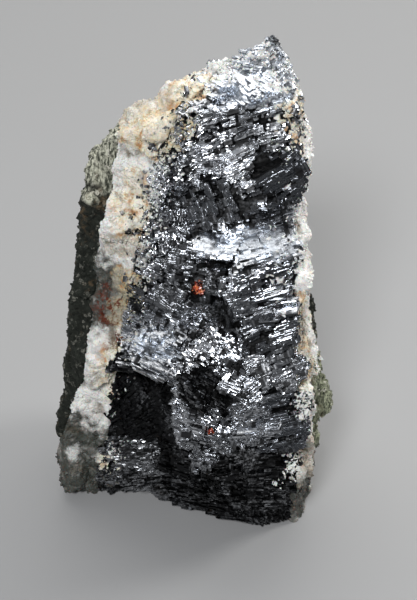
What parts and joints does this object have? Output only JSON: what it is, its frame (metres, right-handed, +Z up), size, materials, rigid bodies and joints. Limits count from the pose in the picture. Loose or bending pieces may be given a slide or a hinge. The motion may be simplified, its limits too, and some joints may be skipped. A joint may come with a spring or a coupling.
{
  "type": "galena specimen",
  "caption": "Hand specimen of vein galena standing on its broken base, with stepped cleavage ledges between bands of milky quartz and skins of wall rock.",
  "frame": {"origin": "middle of the flat base, under the centre of the bounding box", "axes": "+Z up, the specimen's long way; -Y the fresh broken face with the ledges; +X to its right"},
  "size_m": [0.0612, 0.0566, 0.1073],
  "materials": {
    "galena": "bright metallic lead grey on fresh cleavage faces, duller on worn ones",
    "vein_quartz": "sugary, milky white with cream and orange iron stain",
    "wall_rock": "matt, granular, greenish grey",
    "sphalerite": "resinous, red-brown"
  },
  "bodies": {
    "root": {"galena": "galena", "quartz_left": "vein_quartz", "quartz_right": "vein_quartz", "wallrock_left": "wall_rock", "wallrock_right": "wall_rock", "sphalerite_upper": "sphalerite", "sphalerite_lower": "sphalerite"}
  },
  "joints": []
}
